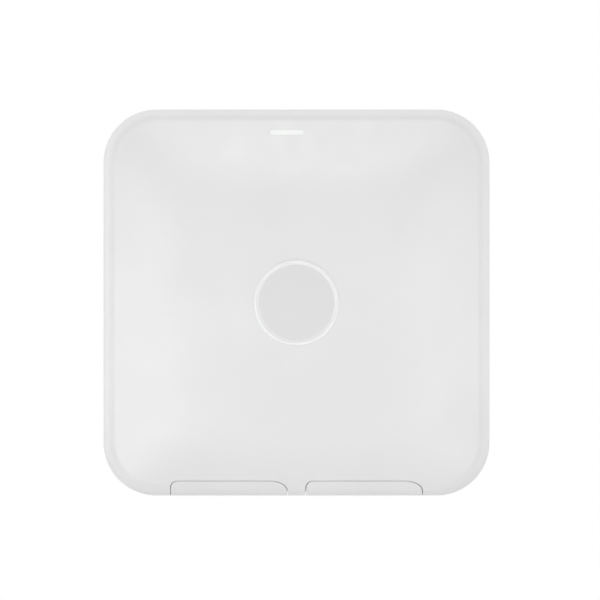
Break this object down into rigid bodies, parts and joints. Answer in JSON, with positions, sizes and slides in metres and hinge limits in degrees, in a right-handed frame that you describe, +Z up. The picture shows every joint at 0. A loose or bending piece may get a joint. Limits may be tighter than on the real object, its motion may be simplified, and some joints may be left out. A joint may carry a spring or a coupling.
{
  "type": "ceiling access point",
  "caption": "Square white ceiling or wall wireless access point with crowned cover, round badge, two hinged port doors and a slide-on steel bracket",
  "frame": {"origin": "centre of the mounting face of the steel bracket, the face that lies against the wall or ceiling", "axes": "-Y points out of the mounting surface through the front cover and its badge; +Z is up as the unit hangs on a wall, away from the port doors, and is the way it slides off its hooks; +X is to the right seen from the front. On a ceiling, turn the part so that -Y points down."},
  "size_m": [0.2, 0.0396, 0.2],
  "materials": {
    "aluminium": "satin",
    "badge_plastic": "satin",
    "black_plastic": "matte",
    "brass": "satin",
    "button_plastic": "satin",
    "ceramic": "satin",
    "circuit_board": "satin",
    "clear_plastic": "satin",
    "coax_jacket": "satin",
    "ferrite": "matte",
    "gold_contact": "gloss",
    "grey_plastic": "matte",
    "label": "matte",
    "led": "gloss",
    "steel": "satin",
    "thermal_pad": "matte",
    "tinned_sheet": "satin",
    "white_plastic": "matte",
    "zinc_steel": "satin"
  },
  "bodies": {
    "bracket": {"mounting_bracket": "zinc_steel", "latch_pin": "steel"},
    "unit": {"antenna_1": "tinned_sheet", "antenna_2": "tinned_sheet", "antenna_3": "tinned_sheet", "antenna_4": "tinned_sheet", "antenna_lead_1": "coax_jacket", "antenna_lead_2": "coax_jacket", "antenna_lead_3": "coax_jacket", "antenna_lead_4": "coax_jacket", "antenna_reflector": "aluminium", "badge": "badge_plastic", "beacon_antenna": "ceramic", "board_screws": "steel", "bulk_capacitors": "aluminium", "case_screws": "steel", "door_hinge_pin_left": "steel", "door_hinge_pin_right": "steel", "ethernet_jack_left": "tinned_sheet", "ethernet_jack_right": "tinned_sheet", "ethernet_transformers": "black_plastic", "front_cover": "white_plastic", "heat_spreader": "aluminium", "jack_contacts": "gold_contact", "jack_inserts": "black_plastic", "lead_connectors": "gold_contact", "light_pipe": "clear_plastic", "main_board": "circuit_board", "memory_chips": "black_plastic", "power_inductors": "ferrite", "power_inlet": "black_plastic", "power_inlet_pin": "gold_contact", "processor_shield": "tinned_sheet", "radio_shield_left": "tinned_sheet", "radio_shield_right": "tinned_sheet", "rating_label": "label", "rear_housing": "grey_plastic", "reflector_spacers": "brass", "reset_switch": "black_plastic", "status_leds": "led", "thermal_pads": "thermal_pad", "usb_shell": "tinned_sheet", "usb_tongue": "black_plastic"},
    "latch": {"latch_lever": "steel"},
    "left_door": {"port_door_left": "white_plastic"},
    "right_door": {"port_door_right": "white_plastic"},
    "reset": {"reset_button": "button_plastic"}
  },
  "joints": [
    {"name": "unit_slide", "type": "slide", "parent": "bracket", "child": "unit", "axis": [0, 0, 1], "range_m": [0, 0.0105]},
    {"name": "latch_flex", "type": "hinge", "parent": "bracket", "child": "latch", "pos_m": [0, -0.0029, -0.01], "axis": [-1, 0, 0], "range_deg": [0, 2.6]},
    {"name": "left_door_hinge", "type": "hinge", "parent": "unit", "child": "left_door", "pos_m": [-0.035, -0.0096, -0.0974], "axis": [1, 0, 0], "range_deg": [0, 95]},
    {"name": "right_door_hinge", "type": "hinge", "parent": "unit", "child": "right_door", "pos_m": [0.035, -0.0096, -0.0974], "axis": [1, 0, 0], "range_deg": [0, 95]},
    {"name": "reset_press", "type": "slide", "parent": "unit", "child": "reset", "axis": [0, 0, 1], "range_m": [0, 0.0008], "stiffness_N_per_m": 900, "springref_m": -0.0004}
  ],
  "couplings": [
    {"joint": "latch_flex", "follows": "unit_slide", "rad_per_m": 4.17}
  ]
}
